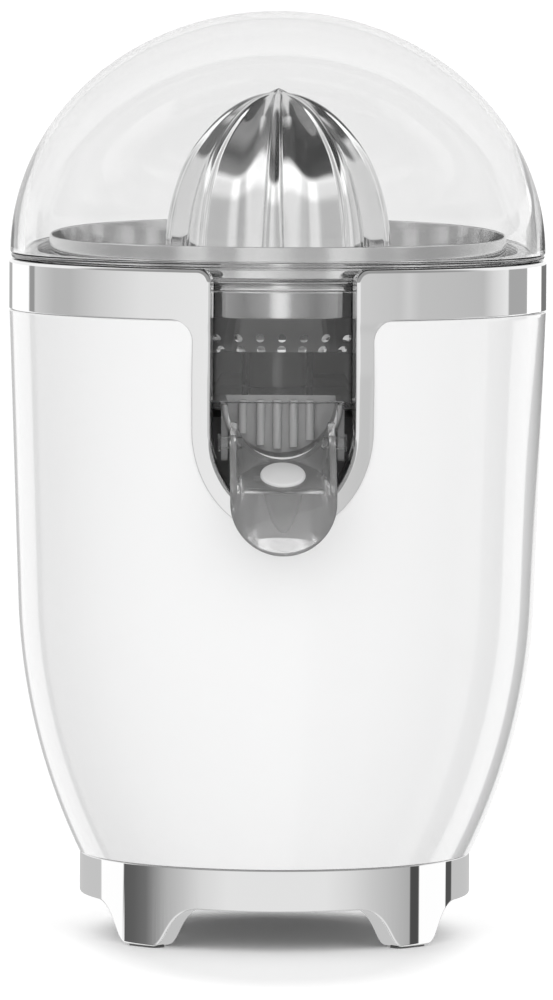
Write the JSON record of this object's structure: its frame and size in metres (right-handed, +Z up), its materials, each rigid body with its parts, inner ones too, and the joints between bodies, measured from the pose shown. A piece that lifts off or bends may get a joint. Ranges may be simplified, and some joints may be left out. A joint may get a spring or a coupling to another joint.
{
  "type": "citrus press juicer",
  "caption": "Electric citrus press with a clear dome lid, ribbed steel reamer, strainer, clear bowl with front spout, rounded shell with bright band and arched base.",
  "frame": {"origin": "on the axis of the shaft, at the level of the foot pads", "axes": "+Z up along the shaft, -Y towards the spout, +X to the viewer's right when facing the spout"},
  "size_m": [0.166, 0.18, 0.285],
  "materials": {
    "bright_metal": "polished",
    "white_paint": "gloss",
    "clear_plastic": "clear",
    "polished_steel": "polished",
    "strainer_steel": "polished",
    "pale_silicone": "matte",
    "foot_rubber": "matte",
    "seal_rubber": "matte",
    "dark_plastic": "satin",
    "gear_plastic": "satin",
    "steel": "satin",
    "motor_steel": "satin",
    "brass": "satin",
    "black_plastic": "satin",
    "hub_plastic": "satin"
  },
  "bodies": {
    "root": {"base_ring": "bright_metal", "foot_pads": "foot_rubber", "base_plate": "dark_plastic", "base_screws": "steel", "cord_gland": "seal_rubber", "body_shell": "white_paint", "trim_band": "bright_metal", "slot_liner": "dark_plastic", "deck": "dark_plastic", "deck_screws": "steel", "shaft_bush": "brass", "shaft_seal": "seal_rubber", "idler_pin": "steel", "gear_cover": "dark_plastic", "cover_screws": "steel", "return_spring": "steel", "switch_body": "black_plastic", "motor_can": "motor_steel", "motor_screws": "steel", "motor_end_cap": "motor_steel"},
    "rotor": {"motor_rotor": "motor_steel"},
    "idler": {"idler_gear": "gear_plastic"},
    "output": {"output_gear": "gear_plastic"},
    "shaft": {"drive_shaft": "steel"},
    "plunger": {"switch_plunger": "black_plastic"},
    "bowl": {"juice_bowl": "clear_plastic"},
    "spout": {"spout": "clear_plastic", "spout_pins": "clear_plastic", "spout_seal": "pale_silicone"},
    "strainer": {"strainer": "strainer_steel"},
    "reamer": {"reamer": "polished_steel", "reamer_hub": "hub_plastic"},
    "lid": {"lid": "clear_plastic"}
  },
  "joints": [
    {"name": "output_spin", "type": "hinge", "parent": "root", "child": "output", "pos_m": [0, 0, 0.152], "axis": [0, 0, 1], "continuous": true},
    {"name": "idler_spin", "type": "hinge", "parent": "root", "child": "idler", "pos_m": [0, 0.04375, 0.142], "axis": [0, 0, 1], "continuous": true},
    {"name": "rotor_spin", "type": "hinge", "parent": "root", "child": "rotor", "pos_m": [0, 0.01375, 0.08], "axis": [0, 0, 1], "continuous": true},
    {"name": "shaft_press", "type": "slide", "parent": "output", "child": "shaft", "axis": [0, 0, 1], "range_m": [-0.003, 0], "stiffness_N_per_m": 1500, "springref_m": 0.004, "deforming": ["return_spring"]},
    {"name": "switch_press", "type": "slide", "parent": "root", "child": "plunger", "axis": [0, 0, 1], "range_m": [-0.003, 0]},
    {"name": "bowl_lift", "type": "slide", "parent": "root", "child": "bowl", "axis": [0, 0, 1], "range_m": [0, 0.12]},
    {"name": "spout_tilt", "type": "hinge", "parent": "bowl", "child": "spout", "pos_m": [0, -0.0751, 0.1563], "axis": [-1, 0, 0], "range_deg": [0, 25]},
    {"name": "strainer_lift", "type": "slide", "parent": "bowl", "child": "strainer", "axis": [0, 0, 1], "range_m": [0, 0.006]},
    {"name": "reamer_lift", "type": "slide", "parent": "shaft", "child": "reamer", "axis": [0, 0, 1], "range_m": [0, 0.135]},
    {"name": "lid_lift", "type": "slide", "parent": "bowl", "child": "lid", "axis": [0, 0, 1], "range_m": [0, 0.09]}
  ],
  "couplings": [
    {"joint": "idler_spin", "follows": "output_spin", "ratio": -4},
    {"joint": "rotor_spin", "follows": "output_spin", "ratio": 16},
    {"joint": "switch_press", "follows": "shaft_press", "ratio": 1},
    {"joint": "strainer_lift", "follows": "bowl_lift", "ratio": 0.04},
    {"joint": "reamer_lift", "follows": "bowl_lift", "ratio": 1.1}
  ]
}
